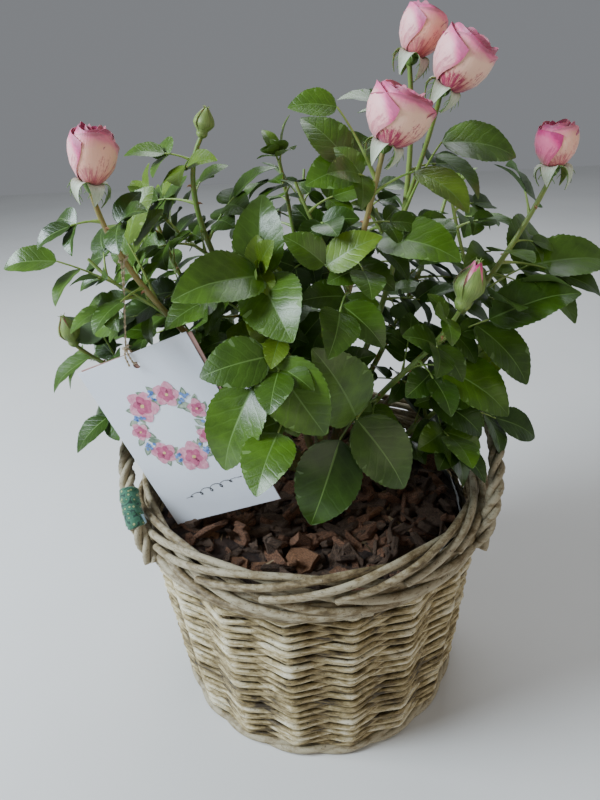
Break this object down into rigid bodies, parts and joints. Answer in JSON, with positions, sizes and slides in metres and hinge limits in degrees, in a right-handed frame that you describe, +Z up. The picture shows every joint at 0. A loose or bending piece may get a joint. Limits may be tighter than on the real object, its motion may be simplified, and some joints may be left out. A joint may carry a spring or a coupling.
{
  "type": "potted rose bush",
  "caption": "Rose bush in bloom with upright leafy stems, potted in a round woven willow basket with arched side handles, bark mulch and a hanging picture card.",
  "frame": {"origin": "centre of the basket's flat underside, on the surface it stands on", "axes": "+Z up; -Y towards the front, where the picture card hangs at the left; +X to the right as seen from the front, along the line of the handles"},
  "size_m": [0.4205, 0.3199, 0.5264],
  "materials": {
    "willow": "grey washed woven willow, matt",
    "handle_cloth": "printed cotton strip, matt",
    "liner": "crinkled silver-grey film",
    "compost": "damp dark potting compost",
    "bark": "chipped red-brown bark, matt",
    "card": "satin printed card",
    "card_back": "satin printed card",
    "twine": "rough twisted jute",
    "old_wood": "grey-brown cracked bark",
    "cane": "smooth green to red-brown rind",
    "foliage": "glossy green leaves",
    "petals": "soft satin petals, cream, peach and pink"
  },
  "bodies": {
    "root": {"basket_wall": "willow", "basket_border": "willow", "handle_right": "willow", "handle_left": "willow", "handle_wrap": "handle_cloth", "liner": "liner", "compost": "compost", "bark_mulch": "bark", "tag_front": "card", "tag_back": "card_back", "tag_twine": "twine", "crown": "old_wood", "cane_bloom_left": "cane", "cane_bud_low_left": "cane", "cane_bud_top_left": "cane", "cane_bloom_middle": "cane", "cane_bloom_pair": "cane", "cane_bloom_right": "cane", "cane_bud_front": "cane", "cane_front": "cane", "cane_front_left": "cane", "cane_low_right": "cane", "cane_back_right": "cane", "cane_back": "cane", "cane_back_left": "cane", "shoot_bloom_left": "foliage", "shoot_bud_low_left": "foliage", "shoot_bud_top_left": "foliage", "shoot_bloom_middle": "foliage", "shoot_bloom_pair": "foliage", "shoot_bloom_right": "foliage", "shoot_bud_front": "foliage", "shoot_front": "foliage", "shoot_front_left": "foliage", "shoot_low_right": "foliage", "shoot_back_right": "foliage", "shoot_back": "foliage", "shoot_back_left": "foliage"}
  },
  "joints": []
}
